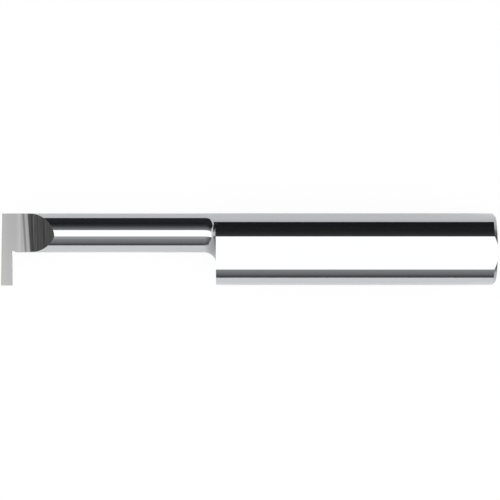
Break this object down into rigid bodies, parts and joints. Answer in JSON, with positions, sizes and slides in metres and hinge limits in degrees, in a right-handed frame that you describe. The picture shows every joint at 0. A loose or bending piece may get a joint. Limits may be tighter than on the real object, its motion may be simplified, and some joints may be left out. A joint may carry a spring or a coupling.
{
  "type": "boring bar",
  "caption": "One-piece internal grooving bar: round shank with a full-length locating flat, slim offset neck, and a thin side blade with a ground rake face and chip ramp.",
  "frame": {"origin": "centre of the shank's rear end face", "axes": "+X along the shank to the rear, away from the cutting edge; +Z out of the locating flat, which is the side of the rake face; the blade points to -Y"},
  "size_m": [0.055, 0.0081, 0.0076],
  "materials": {
    "carbide": "finely ground and polished solid tungsten carbide"
  },
  "bodies": {
    "root": {"boring_bar": "carbide"}
  },
  "joints": []
}
